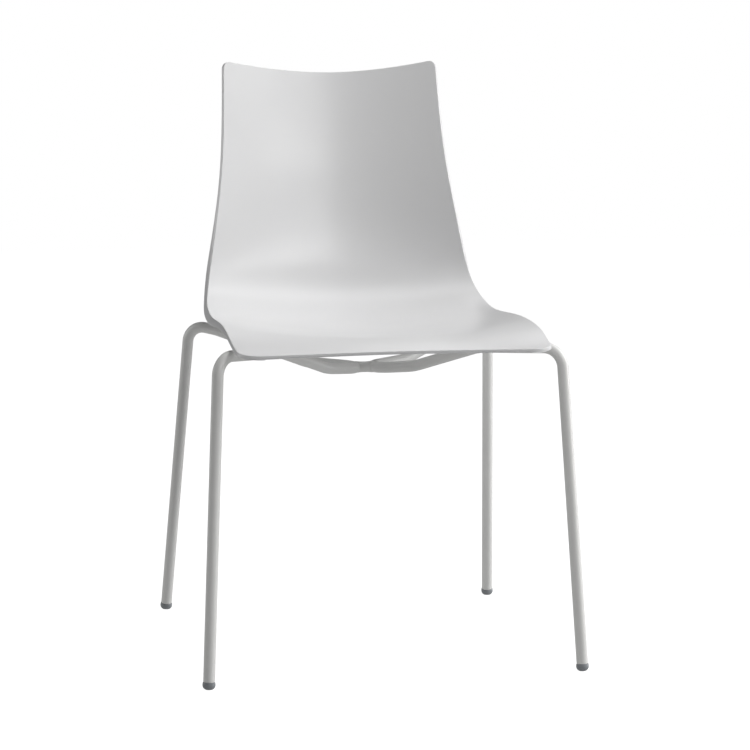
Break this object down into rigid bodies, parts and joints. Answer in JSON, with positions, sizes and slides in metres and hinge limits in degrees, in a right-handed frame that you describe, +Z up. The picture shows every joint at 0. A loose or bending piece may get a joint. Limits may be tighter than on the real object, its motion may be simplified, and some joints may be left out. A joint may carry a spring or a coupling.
{
  "type": "stacking chair",
  "caption": "Armless stacking chair: a one-piece moulded seat and back on a bent round-tube leg frame with capped feet.",
  "frame": {"origin": "on the floor, under the middle of the chair's outline", "axes": "+Z up, -Y towards the front edge of the seat, +X to the right as seen from the front"},
  "size_m": [0.541, 0.5271, 0.8281],
  "materials": {
    "shell": "satin moulded polymer, fine even texture",
    "frame_paint": "satin powder coat on steel tube",
    "foot": "matt moulded glide",
    "fastener": "bright zinc plated",
    "insert": "turned"
  },
  "bodies": {
    "root": {"seat_shell": "shell", "side_frame_left": "frame_paint", "side_frame_right": "frame_paint", "centre_spreader": "frame_paint", "foot_cap_front_left": "foot", "fixing_lug_front_left": "frame_paint", "shell_insert_front_left": "insert", "washer_front_left": "fastener", "screw_front_left": "fastener", "foot_cap_front_right": "foot", "fixing_lug_front_right": "frame_paint", "shell_insert_front_right": "insert", "washer_front_right": "fastener", "screw_front_right": "fastener", "foot_cap_rear_left": "foot", "fixing_lug_rear_left": "frame_paint", "shell_insert_rear_left": "insert", "washer_rear_left": "fastener", "screw_rear_left": "fastener", "foot_cap_rear_right": "foot", "fixing_lug_rear_right": "frame_paint", "shell_insert_rear_right": "insert", "washer_rear_right": "fastener", "screw_rear_right": "fastener"}
  },
  "joints": []
}
